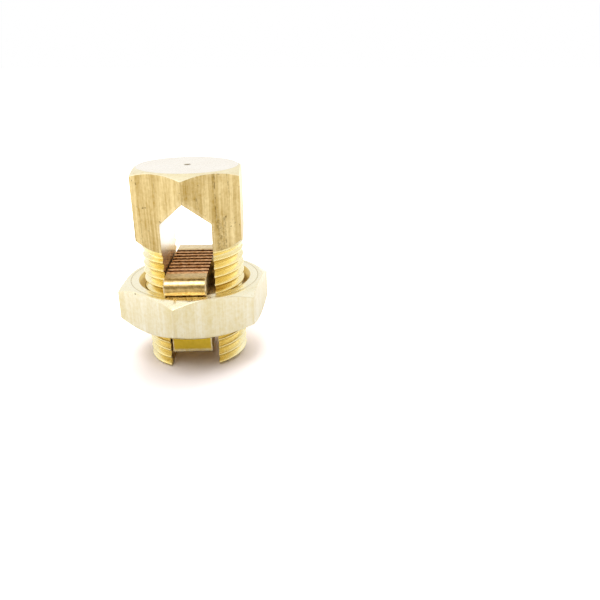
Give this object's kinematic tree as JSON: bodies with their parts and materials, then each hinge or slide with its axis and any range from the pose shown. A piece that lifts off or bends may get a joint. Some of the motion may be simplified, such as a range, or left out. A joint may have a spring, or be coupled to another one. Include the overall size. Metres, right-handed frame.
{
  "type": "split bolt connector",
  "caption": "Slotted hexagon-head bolt with a hexagon nut and a serrated pressure bar that squeezes electrical conductors against the roof of the slot.",
  "frame": {"origin": "on the bolt's axis, in the plane of its leg ends, which is the centre of the base of the whole part", "axes": "+Z along the bolt's axis towards its head; Y along the conductor slot; X across the slot, from one leg to the other"},
  "size_m": [0.028, 0.0294, 0.0371],
  "materials": {
    "bolt_brass": "bright drawn hexagon bar with turned threads",
    "nut_brass": "pale satin brass, lightly brushed",
    "bar_bronze": "copper-toned bronze, satin, darker in the grooves"
  },
  "bodies": {
    "bolt": {"split_bolt": "bolt_brass"},
    "bar": {"pressure_bar": "bar_bronze"},
    "nut": {"clamp_nut": "nut_brass"}
  },
  "joints": [
    {"name": "bar_slide", "type": "slide", "parent": "bolt", "child": "bar", "axis": [0, 0, 1], "range_m": [-0.00715, 0.00715]},
    {"name": "nut_spin", "type": "hinge", "parent": "bar", "child": "nut", "pos_m": [0, 0, 0.01163], "axis": [0, 0, 1], "range_deg": [-1620, 1620]}
  ],
  "couplings": [
    {"joint": "bar_slide", "follows": "nut_spin", "m_per_rad": 0.00025266}
  ]
}
